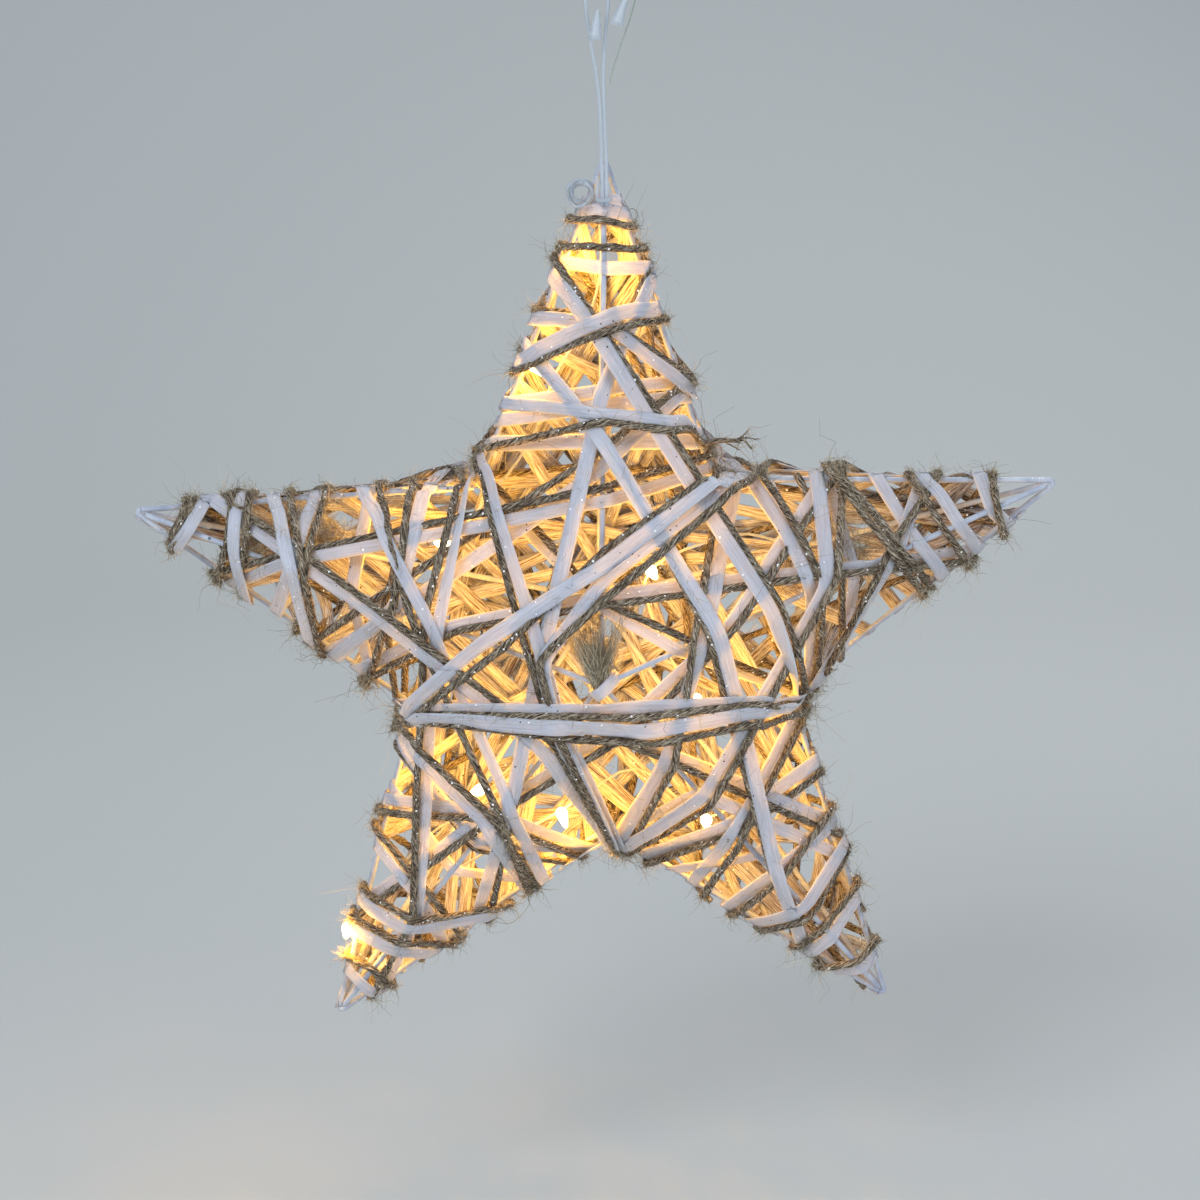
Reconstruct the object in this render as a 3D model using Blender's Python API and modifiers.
"""Jute star light: a hanging five-pointed star of welded wire, wound with paper strip and jute
twine round a string of small LED bulbs, on a clear two-wire lead with a hanging ring.

Metres, +Z up, the front faces -Y. The origin is at the top of the hanging ring's hole, where a
hook holds the star. The star hangs in the XZ plane below it, turned a little by its own weight.
"""

import math

import bpy
from mathutils import Matrix, Vector

# Driving dimensions, in metres
STAR_RADIUS = 0.2105        # star's centre to the middle of the wire at a tip
NOTCH_RADIUS = 0.088        # star's centre to the notch between two arms
APEX_HEIGHT = 0.0727        # star's middle plane to the apex, front and back alike
WIRE_RADIUS = 0.00125       # painted steel wire
TIP_BEND_RADIUS = 0.0013    # the outline wire's bend round each tip, at its middle
TOP_ARM_LEAN = 0.0083       # the top tip stands this far to the right of true
HANG_DROP = 0.325           # ring to the star's centre
HANG_ANGLE = math.radians(1.8)   # the leaning tip lets the star hang turned by this much
GAP = 0.0003                # clearance between neighbours

ARMS = ("top", "right", "lower_right", "lower_left", "left")   # clockwise from the top
ARM_STEP = 2 * math.pi / len(ARMS)

RIDGE_TIP_RADIUS = 0.2067   # a ridge wire starts inside the tip's bend
RIDGE_TIP_OFFSET = 0.0015   # front and back ridge wires lie side by side there
RIDGE_APEX_RADIUS = 0.0021  # and stop short of each other at the apex
NOTCH_SETBACK = 0.0012      # outline wires stop short of each other at a notch

WINDING_INSIDE = 0.0030     # from the wires' plane to the inside of the winding
WINDING_DEPTH = 0.0026      # thickness of the winding
STRIP_WIDTH = 0.0065
STRIP_THICKNESS = 0.0012
TWINE_WIDTH = 0.0036
TWINE_THICKNESS = 0.0020
THICKNESS_STEP = 0.00002    # each crossing piece is this much thicker than the one before
EDGE_WIDTH = 0.0055         # turns that run along a wire
EDGE_THICKNESS = 0.0016
VALLEY_GAP = 0.0006         # clearance between two windings that meet in a valley
SIDE_INSET = 0.0030         # the winding's edge stays this far inside the outline wire

LED_WIRE_RADIUS = 0.0006
BULB_LENGTH = 0.0125
BULB_RADIUS = 0.0027
LEAD_RADIUS = 0.0008        # each of the two clear lead wires
THREAD_RADIUS = 0.0003
RING_RADIUS = 0.0070        # hanging ring, at the middle of its bar
RING_BAR_RADIUS = 0.0011


def material(name, colour, roughness, metallic=0.0, transmission=0.0, emission=0.0):
    m = bpy.data.materials.new(name)
    m.use_nodes = True
    shader = m.node_tree.nodes["Principled BSDF"]
    shader.inputs["Base Color"].default_value = (*colour, 1.0)
    shader.inputs["Roughness"].default_value = roughness
    shader.inputs["Metallic"].default_value = metallic
    shader.inputs["Transmission Weight"].default_value = transmission
    shader.inputs["Emission Color"].default_value = (*colour, 1.0)
    shader.inputs["Emission Strength"].default_value = emission
    m.diffuse_color = (*colour, 1.0)
    return m


def make_collection(name):
    collection = bpy.data.collections.new(name)
    bpy.context.scene.collection.children.link(collection)
    return collection


def new_object(name, data, collection, mat=None, parent=None):
    """An object with its data, in its collection, with one material and an optional parent."""
    ob = bpy.data.objects.new(name, data)
    collection.objects.link(ob)
    if mat is not None:
        data.materials.append(mat)
    ob.parent = parent
    return ob


def tube(name, points, radius, sides, collection, mat, parent=None, cyclic=False):
    """A wire: a poly curve with a round bevel and filled caps."""
    curve = bpy.data.curves.new(name, "CURVE")
    curve.dimensions = "3D"
    curve.bevel_depth = radius
    curve.bevel_resolution = (sides - 4) // 2
    curve.use_fill_caps = not cyclic
    spline = curve.splines.new("POLY")
    spline.points.add(len(points) - 1)
    for target, p in zip(spline.points, points):
        target.co = (*p, 1.0)
        target.radius = 1.0
    spline.use_cyclic_u = cyclic
    spline.use_smooth = True
    return new_object(name, curve, collection, mat, parent)


def smooth_route(corners, count):
    """Evenly many points on a Catmull-Rom curve through the route's own points."""
    p = [Vector(c) for c in corners]
    p = [2 * p[0] - p[1]] + p + [2 * p[-1] - p[-2]]
    spans = len(corners) - 1
    points = []
    for i in range(count):
        u = i * spans / (count - 1)
        k = min(int(u), spans - 1)
        t = u - k
        a, b, c, d = p[k:k + 4]
        points.append(0.5 * (2 * b + (c - a) * t + (2 * a - 5 * b + 4 * c - d) * t ** 2
                             + (3 * b - a - 3 * c + d) * t ** 3))
    return points


# ---------------------------------------------------------------- the star's own geometry

def arm_axis(k):
    angle = k * ARM_STEP
    return Vector((math.sin(angle), 0.0, math.cos(angle)))


def arm_lean(k):
    return Vector((TOP_ARM_LEAN, 0.0, 0.0)) if ARMS[k] == "top" else Vector()


def on_arm(k, radius, y=0.0):
    """A point on the middle of an arm, at a distance from the star's centre."""
    return arm_axis(k) * radius + arm_lean(k) * (radius / STAR_RADIUS) + Vector((0.0, y, 0.0))


def notch(k, side):
    """The notch beside arm k: side -1 is anticlockwise of it, +1 clockwise."""
    angle = (k + side / 2) * ARM_STEP
    return NOTCH_RADIUS * Vector((math.sin(angle), 0.0, math.cos(angle)))


def apex(face):
    """face is -1 for the front, +1 for the back."""
    return Vector((0.0, face * APEX_HEIGHT, 0.0))


def bend_start(k, side):
    """Where a straight outline wire meets the bend round the tip, tangent to it."""
    start = notch(k, side)
    centre = on_arm(k, STAR_RADIUS - TIP_BEND_RADIUS)
    reach = centre - start
    turn = math.asin(TIP_BEND_RADIUS / reach.length)
    length = math.sqrt(reach.length ** 2 - TIP_BEND_RADIUS ** 2)
    direction = Matrix.Rotation(side * turn, 3, "Y") @ reach.normalized()
    return start + direction * length


def tip_bend(k, steps=8):
    """The arc round the tip, from the anticlockwise side to the clockwise one."""
    centre = on_arm(k, STAR_RADIUS - TIP_BEND_RADIUS)
    first = bend_start(k, -1) - centre
    sweep = first.angle(bend_start(k, +1) - centre)
    outward = arm_axis(k).dot(first) < 0
    sweep = 2 * math.pi - sweep if outward else sweep
    return [centre + Matrix.Rotation(sweep * i / steps, 3, "Y") @ first for i in range(steps + 1)]


def pulled_back(start, end, distance):
    """start moved towards end."""
    return start + (end - start).normalized() * distance


def make_outline_wires(k, collection, mat, parent):
    bend = tip_bend(k)
    left_notch = pulled_back(notch(k, -1), bend[0], NOTCH_SETBACK)
    tube(f"{ARMS[k]}_arm_bent_side_wire", [left_notch] + bend, WIRE_RADIUS, 12,
         collection, mat, parent)
    right_notch = pulled_back(notch(k, +1), bend[-1], NOTCH_SETBACK)
    start = pulled_back(bend[-1], right_notch, GAP)
    tube(f"{ARMS[k]}_arm_straight_side_wire", [start, right_notch], WIRE_RADIUS, 12,
         collection, mat, parent)


def make_ridge_wire(k, face, collection, mat, parent):
    tip = on_arm(k, RIDGE_TIP_RADIUS, face * RIDGE_TIP_OFFSET)
    slope = apex(face) - tip
    end = tip + slope * (1 - RIDGE_APEX_RADIUS / RIDGE_TIP_RADIUS)
    side = "front" if face < 0 else "back"
    tube(f"{ARMS[k]}_arm_{side}_ridge_wire", [tip, end], WIRE_RADIUS, 12, collection, mat, parent)


# ---------------------------------------------------------------- the winding, facet by facet

def facet_frame(k, side, face):
    """A facet's own frame: its origin at the notch, and axes whose X runs along the arm's
    outline, Y towards the ridge and Z out of the star."""
    origin, tip, top = notch(k, side), on_arm(k, STAR_RADIUS - TIP_BEND_RADIUS), apex(face)
    x_axis = (tip - origin).normalized()
    rise = top - origin
    y_axis = (rise - x_axis * rise.dot(x_axis)).normalized()
    if x_axis.cross(y_axis).y * face < 0:
        x_axis = -x_axis
    axes = Matrix((x_axis, y_axis, x_axis.cross(y_axis))).transposed()
    return origin, axes


def facet_corners(k, side, face):
    """The facet's notch, tip and apex, flat in its own frame."""
    origin, axes = facet_frame(k, side, face)
    corners = (origin, on_arm(k, STAR_RADIUS - TIP_BEND_RADIUS), apex(face))
    return [(axes.transposed() @ (p - origin)).to_2d() for p in corners]


def valley_angle(k, side, face):
    """The angle between this facet's outward direction and its neighbour's across the valley."""
    neighbour = (k + side) % len(ARMS)
    mine = facet_frame(k, side, face)[1].col[2]
    theirs = facet_frame(neighbour, -side, face)[1].col[2]
    return mine.angle(theirs)


def flat_bar(name, start, end, width, thickness, collection):
    """A straight strip between two points of the facet's plane: a scaled cube, scale applied."""
    run = end - start
    bpy.ops.mesh.primitive_cube_add(size=1.0)
    ob = bpy.context.object
    ob.name = name
    middle = (start + end) / 2
    turn = Matrix.Rotation(math.atan2(run.y, run.x), 4, "Z")
    size = Matrix.Diagonal((run.length, width, thickness, 1.0))
    ob.data.transform(Matrix.Translation((middle.x, middle.y, 0.0)) @ turn @ size)
    for owner in ob.users_collection:
        owner.objects.unlink(ob)
    collection.objects.link(ob)
    return ob


def joined(objects, name):
    """One object of several, whose bodies may still overlap."""
    with bpy.context.temp_override(active_object=objects[0], object=objects[0],
                                   selected_editable_objects=objects, selected_objects=objects):
        bpy.ops.object.join()
    objects[0].name = name
    return objects[0]


def cutter(ob):
    ob.hide_render = True
    ob.display_type = "WIRE"
    return ob


# Where the winding's zigzag turns, as shares of the outline and of the ridge, tip to middle
ZIGZAG_FRONT = ((0.16, 0.20), (0.40, 0.20), (0.40, 0.47), (0.70, 0.47), (0.70, 0.76), (0.95, 0.80))
ZIGZAG_BACK = ((0.16, 0.14), (0.30, 0.14), (0.30, 0.40), (0.60, 0.40), (0.60, 0.70), (0.92, 0.70))
TIP_BARE = 0.14             # share of the arm, at its tip, that stays unwound


def make_winding(k, side, face, collection, cutters, mat, parent):
    """One facet's winding: strips and twine that cross in a zigzag between the outline and the
    ridge, joined where they touch, with turns that run along all three edges."""
    origin, axes = facet_frame(k, side, face)
    low, tip, top = facet_corners(k, side, face)
    inward = Vector((0.0, SIDE_INSET))
    low = low + inward
    bare_side = tip + inward + (low - tip - inward) * TIP_BARE
    bare_ridge = tip + (top - tip) * TIP_BARE
    along = (top - low).normalized()
    across = Vector((along.y, -along.x))
    inset = ((WINDING_INSIDE + WINDING_DEPTH) * math.tan(valley_angle(k, side, face) / 2)
             + VALLEY_GAP)
    ridge_run = (top - bare_ridge).normalized()
    side_run = (low - bare_side).normalized()

    def along_valley(p, run):
        """The point moved back along its edge until it clears the valley."""
        return p - run * (inset / abs(run.dot(across)))

    apex_corner = along_valley(top, ridge_run)
    notch_corner = along_valley(low, side_run)
    outline = [notch_corner, bare_side, bare_ridge, apex_corner]
    side_name = {-1: "left", +1: "right"}[side]
    face_name = {-1: "front", +1: "back"}[face]
    name = f"{ARMS[k]}_arm_{face_name}_{side_name}_winding"

    flat = bpy.data.curves.new(name, "CURVE")
    flat.dimensions = "2D"
    flat.fill_mode = "BOTH"
    flat.extrude = WINDING_DEPTH / 2
    spline = flat.splines.new("POLY")
    spline.points.add(len(outline) - 1)
    for target, p in zip(spline.points, outline):
        target.co = (p.x, p.y, 0.0, 1.0)
    spline.use_cyclic_u = True
    sheet = new_object(name + "_flat", flat, cutters)
    mesh = bpy.data.meshes.new_from_object(
        sheet.evaluated_get(bpy.context.evaluated_depsgraph_get()))
    bpy.data.objects.remove(sheet)
    mesh.name = name

    bars = []
    zigzag = ZIGZAG_FRONT if face < 0 else ZIGZAG_BACK
    for i, (on_side, on_ridge) in enumerate(zigzag):
        a = tip + (low - tip) * on_side
        b = tip + (top - tip) * on_ridge
        run = (b - a).normalized()
        a, b = a - run * STRIP_WIDTH, b + run * STRIP_WIDTH
        beside = Vector((-run.y, run.x)) * (STRIP_WIDTH + TWINE_WIDTH) * 0.48
        beside *= 1 if i % 2 else -1
        extra = i * THICKNESS_STEP
        bars.append(flat_bar(f"{name}_strip_{i}", a, b, STRIP_WIDTH,
                             STRIP_THICKNESS + extra, cutters))
        if i % 2 == 0:
            bars.append(flat_bar(f"{name}_twine_{i}", a + beside, b + beside, TWINE_WIDTH,
                                 TWINE_THICKNESS + extra, cutters))
    edges = ((notch_corner, bare_side), (bare_ridge, apex_corner), (notch_corner, apex_corner),
             (bare_side, bare_ridge))
    for i, (a, b) in enumerate(edges):
        run = (b - a).normalized() * EDGE_WIDTH
        bars.append(flat_bar(f"{name}_edge_{i}", a - run, b + run, 2 * EDGE_WIDTH,
                             EDGE_THICKNESS + i * THICKNESS_STEP, cutters))
    strips = cutter(joined(bars, name + "_strips"))

    panel = new_object(name, mesh, collection, mat, parent)
    middle = origin + axes.col[2] * (WINDING_INSIDE + WINDING_DEPTH / 2)
    panel.matrix_local = Matrix.Translation(middle) @ axes.to_4x4()
    strips.parent = panel
    cut = panel.modifiers.new("zigzag", "BOOLEAN")
    cut.operation = "INTERSECT"
    cut.solver = "EXACT"
    cut.use_self = True
    cut.object = strips
    return panel


# ---------------------------------------------------------------- bulbs, lead and ring

def turned(name, profile, steps, collection, mat, parent=None):
    """A round piece: a profile from top to bottom, on +X, with a Screw modifier."""
    mesh = bpy.data.meshes.new(name)
    mesh.from_pydata([(x, 0.0, z) for x, z in profile],
                     [(i, i + 1) for i in range(len(profile) - 1)], [])
    ob = new_object(name, mesh, collection, mat, parent)
    screw = ob.modifiers.new("turn", "SCREW")
    screw.steps = steps
    screw.render_steps = steps
    screw.use_merge_vertices = True
    screw.merge_threshold = 0.00001
    screw.use_smooth_shade = True
    return ob


def bulb_profile(length, radius):
    """A clear cone cap: narrow round nose, swelling to a flat base."""
    nose = radius * 0.42
    return [(0.0, length), (nose * 0.75, length - nose * 0.3), (nose, length - nose),
            (radius * 0.62, length * 0.62), (radius, length * 0.12), (radius * 0.9, 0.0),
            (0.0, 0.0)]


# The LED string's way through the star, tip of the top arm first (star's own X, Y, Z). The
# second value says which way a bulb stands off the wire there; None is wire only.
LED_ROUTE = (
    ((0.0055, 0.0010, 0.1860), None),
    ((0.0060, 0.0000, 0.1660), (-1.0, -0.2, 0.1)),
    ((-0.0020, 0.0060, 0.1400), None),
    ((-0.0160, 0.0020, 0.1190), (-1.0, -0.3, 0.1)),
    ((-0.0300, 0.0100, 0.0850), None),
    ((-0.0660, 0.0040, 0.0440), (-0.5, -1.0, 0.3)),
    ((-0.0880, 0.0060, 0.0160), None),
    ((-0.0700, 0.0040, -0.0240), None),
    ((-0.0550, -0.0040, -0.0660), (-0.4, -1.0, 0.0)),
    ((-0.0820, 0.0000, -0.0900), None),
    ((-0.1020, 0.0024, -0.1150), None),
    ((-0.1108, 0.0031, -0.1250), None),
    ((-0.1190, 0.0050, -0.1325), (0.0, -1.0, 0.0)),
    ((-0.1140, 0.0034, -0.1395), None),
    ((-0.1040, 0.0030, -0.1370), None),
    ((-0.0760, 0.0060, -0.1120), None),
    ((-0.0200, -0.0020, -0.0780), (0.3, -1.0, -0.2)),
    ((0.0150, 0.0060, -0.0620), None),
    ((0.0450, -0.0020, -0.0840), (0.2, -1.0, 0.0)),
    ((0.0700, 0.0050, -0.0600), None),
    ((0.0420, -0.0060, -0.0260), (-0.3, -1.0, 0.1)),
    ((0.0250, 0.0000, 0.0050), None),
    ((0.0230, -0.0060, 0.0330), (0.4, -1.0, 0.2)),
    ((0.0600, 0.0040, 0.0450), None),
    ((0.0820, 0.0000, 0.0420), None),
)
LED_ROUTE_POINTS = 97       # four points a span


def make_led_string(collection, wire_mat, bulb_mat, parent):
    points = smooth_route([p for p, _ in LED_ROUTE], LED_ROUTE_POINTS)
    tube("led_string_wire", points, LED_WIRE_RADIUS, 8, collection, wire_mat, parent)
    per_span = (LED_ROUTE_POINTS - 1) // (len(LED_ROUTE) - 1)
    number = 0
    for i, (_, stand) in enumerate(LED_ROUTE):
        if stand is None:
            continue
        number += 1
        here = min(max(i * per_span, 1), len(points) - 2)
        run = (points[here + 1] - points[here - 1]).normalized()
        out = Vector(stand)
        out = (out - run * out.dot(run)).normalized()
        bulb = turned(f"led_bulb_{number}", bulb_profile(BULB_LENGTH, BULB_RADIUS), 12,
                      collection, bulb_mat, parent)
        bulb.rotation_euler = out.to_track_quat("Z", "Y").to_euler()
        bulb.location = points[i * per_span] + out * (LED_WIRE_RADIUS + GAP)


# The two lead wires and the hanging thread, from the star's top to the knot (world X, Y, Z)
LEAD_LEFT_ROUTE = (
    (0.0009, -0.0100, -0.1312), (0.0009, -0.0097, -0.1260), (0.0006, -0.0046, -0.1120),
    (-0.0002, -0.0020, -0.0900), (-0.0018, -0.0010, -0.0760), (-0.0042, 0.0, -0.0620),
    (-0.0060, 0.0, -0.0480), (-0.0050, 0.0, -0.0340), (-0.0013, 0.0, -0.0207),
)
LEAD_RIGHT_ROUTE = (
    (0.0028, -0.0100, -0.1312), (0.0028, -0.0097, -0.1260), (0.0026, -0.0046, -0.1120),
    (0.0017, -0.0016, -0.0900), (0.0014, -0.0004, -0.0760), (0.0020, 0.0, -0.0640),
    (0.0032, 0.0, -0.0500), (0.0034, 0.0, -0.0360), (0.0013, 0.0, -0.0207),
)
THREAD_ROUTE = (
    (0.0042, 0.0004, -0.0810), (0.0052, 0.0012, -0.0760), (0.0090, 0.0016, -0.0640),
    (0.0132, 0.0016, -0.0520), (0.0150, 0.0012, -0.0420), (0.0120, 0.0006, -0.0300),
    (0.0035, 0.0, -0.0178),
)
CORD_POINTS = 25
KNOT_CENTRE = Vector((0.0, 0.0, -0.0173))     # just under the ring
KNOT_RADII = (0.0030, 0.0022, 0.0030)
TIE_CENTRE = Vector((0.00185, -0.0099, -0.1287))
TIE_INNER = (0.0024, 0.0013)     # half width and half depth of the tie's loop, inside
TIE_WALL = 0.0009
TIE_HEIGHT = 0.0016
TIE_TAIL = (0.0011, 0.0008, 0.0105)   # width, thickness and length of its tail


def make_tie(collection, mat):
    """The clear cable tie round both lead wires, with its tail standing up beside them."""
    bpy.ops.mesh.primitive_cylinder_add(vertices=20, radius=1.0, depth=TIE_HEIGHT)
    band = bpy.context.object
    band.name = "lead_cable_tie"
    band.data.transform(Matrix.Diagonal((TIE_INNER[0] + TIE_WALL, TIE_INNER[1] + TIE_WALL, 1, 1)))
    bpy.ops.mesh.primitive_cylinder_add(vertices=20, radius=1.0, depth=3 * TIE_HEIGHT)
    hole = cutter(bpy.context.object)
    hole.name = "tie_hole"
    hole.data.transform(Matrix.Diagonal((TIE_INNER[0], TIE_INNER[1], 1, 1)))
    bpy.ops.mesh.primitive_cube_add(size=1.0)
    tail = cutter(bpy.context.object)
    tail.name = "tie_tail"
    tail.data.transform(Matrix.Translation((-TIE_INNER[0] - TIE_TAIL[0] / 2 - GAP, 0.0,
                                            TIE_TAIL[2] / 2 - TIE_HEIGHT / 4))
                        @ Matrix.Diagonal((*TIE_TAIL, 1)))
    for operation, other in (("UNION", tail), ("DIFFERENCE", hole)):
        step = band.modifiers.new(other.name, "BOOLEAN")
        step.operation = operation
        step.solver = "EXACT"
        step.object = other
        other.parent = band
    band.location = TIE_CENTRE
    band.data.materials.append(mat)
    for ob, target in ((band, collection), (hole, bpy.data.collections["cutters"]),
                       (tail, bpy.data.collections["cutters"])):
        for owner in ob.users_collection:
            owner.objects.unlink(ob)
        target.objects.link(ob)


def torus(name, ring_radius, bar_radius, ring_steps, bar_steps, collection, mat, parent=None):
    bpy.ops.mesh.primitive_torus_add(major_radius=ring_radius, minor_radius=bar_radius,
                                     major_segments=ring_steps, minor_segments=bar_steps)
    ob = bpy.context.object
    ob.name = name
    ob.data.materials.append(mat)
    ob.data.shade_smooth()
    for owner in ob.users_collection:
        owner.objects.unlink(ob)
    collection.objects.link(ob)
    ob.parent = parent
    return ob


def make_lead(collection, clear, thread_mat):
    tube("lead_wire_left", smooth_route(LEAD_LEFT_ROUTE, CORD_POINTS), LEAD_RADIUS, 8,
         collection, clear)
    tube("lead_wire_right", smooth_route(LEAD_RIGHT_ROUTE, CORD_POINTS), LEAD_RADIUS, 8,
         collection, clear)
    tube("hanging_thread", smooth_route(THREAD_ROUTE, CORD_POINTS), THREAD_RADIUS, 8,
         collection, thread_mat)
    for name, foot, lean in (("splice_cap_lower", (-0.0022, -0.0046, -0.0620), 0.10),
                             ("splice_cap_upper", (0.0068, -0.0040, -0.0560), 0.35)):
        cap = turned(name, bulb_profile(BULB_LENGTH, BULB_RADIUS), 12, collection, clear)
        cap.location = foot
        cap.rotation_euler = (0.0, lean, 0.0)
    bpy.ops.mesh.primitive_uv_sphere_add(segments=12, ring_count=8, radius=1.0)
    knot = bpy.context.object
    knot.name = "hanging_knot"
    knot.data.transform(Matrix.Diagonal((*KNOT_RADII, 1)))
    knot.data.materials.append(thread_mat)
    knot.data.shade_smooth()
    knot.location = KNOT_CENTRE
    for owner in knot.users_collection:
        owner.objects.unlink(knot)
    collection.objects.link(knot)
    ring = torus("hanging_ring", RING_RADIUS, RING_BAR_RADIUS, 28, 8, collection, clear)
    ring.rotation_euler = (math.pi / 2, 0.0, 0.0)
    ring.location = (0.0, 0.0, -(RING_RADIUS - RING_BAR_RADIUS))
    coil = torus("spare_wire_coil", 0.0044, 0.0011, 20, 8, collection, clear)
    coil.location = (-0.0082, -0.0052, -0.1265)
    coil.rotation_euler = (math.radians(78), math.radians(12), 0.0)


# The loose end of the twine, at the root of the top arm (star's own X, Y, Z)
TWINE_TAIL_ROUTE = ((0.0480, -0.0104, 0.0880), (0.0515, -0.0104, 0.0868),
                    (0.0575, -0.0092, 0.0862), (0.0640, -0.0070, 0.0885),
                    (0.0700, -0.0052, 0.0935))
TWINE_TAIL_POINTS = 13


def build():
    for ob in list(bpy.data.objects):
        bpy.data.objects.remove(ob)
    collection = make_collection("jute_star_light")
    cutters = make_collection("cutters")

    painted_wire = material("painted_wire", (0.80, 0.81, 0.83), 0.42)
    winding = material("wound_strip", (0.80, 0.77, 0.72), 0.75)
    twine = material("jute_twine", (0.36, 0.26, 0.17), 0.95)
    clear = material("clear_plastic", (0.86, 0.90, 0.90), 0.12, transmission=0.9)
    bulb = material("lit_bulb", (1.0, 0.80, 0.45), 0.15, emission=4.0)
    thread = material("nylon_thread", (0.80, 0.84, 0.78), 0.25, transmission=0.6)

    star = bpy.data.objects.new("star_centre", None)
    collection.objects.link(star)
    star.location = (0.0, 0.0, -HANG_DROP)
    star.rotation_euler = (0.0, -HANG_ANGLE, 0.0)

    for k in range(len(ARMS)):
        make_outline_wires(k, collection, painted_wire, star)
        for face in (-1, +1):
            make_ridge_wire(k, face, collection, painted_wire, star)
            for side in (-1, +1):
                make_winding(k, side, face, collection, cutters, winding, star)
    make_led_string(collection, clear, bulb, star)
    make_lead(collection, clear, thread)
    make_tie(collection, clear)
    tube("twine_tail", smooth_route(TWINE_TAIL_ROUTE, TWINE_TAIL_POINTS), TWINE_WIDTH / 2, 8,
         collection, twine, star)


build()
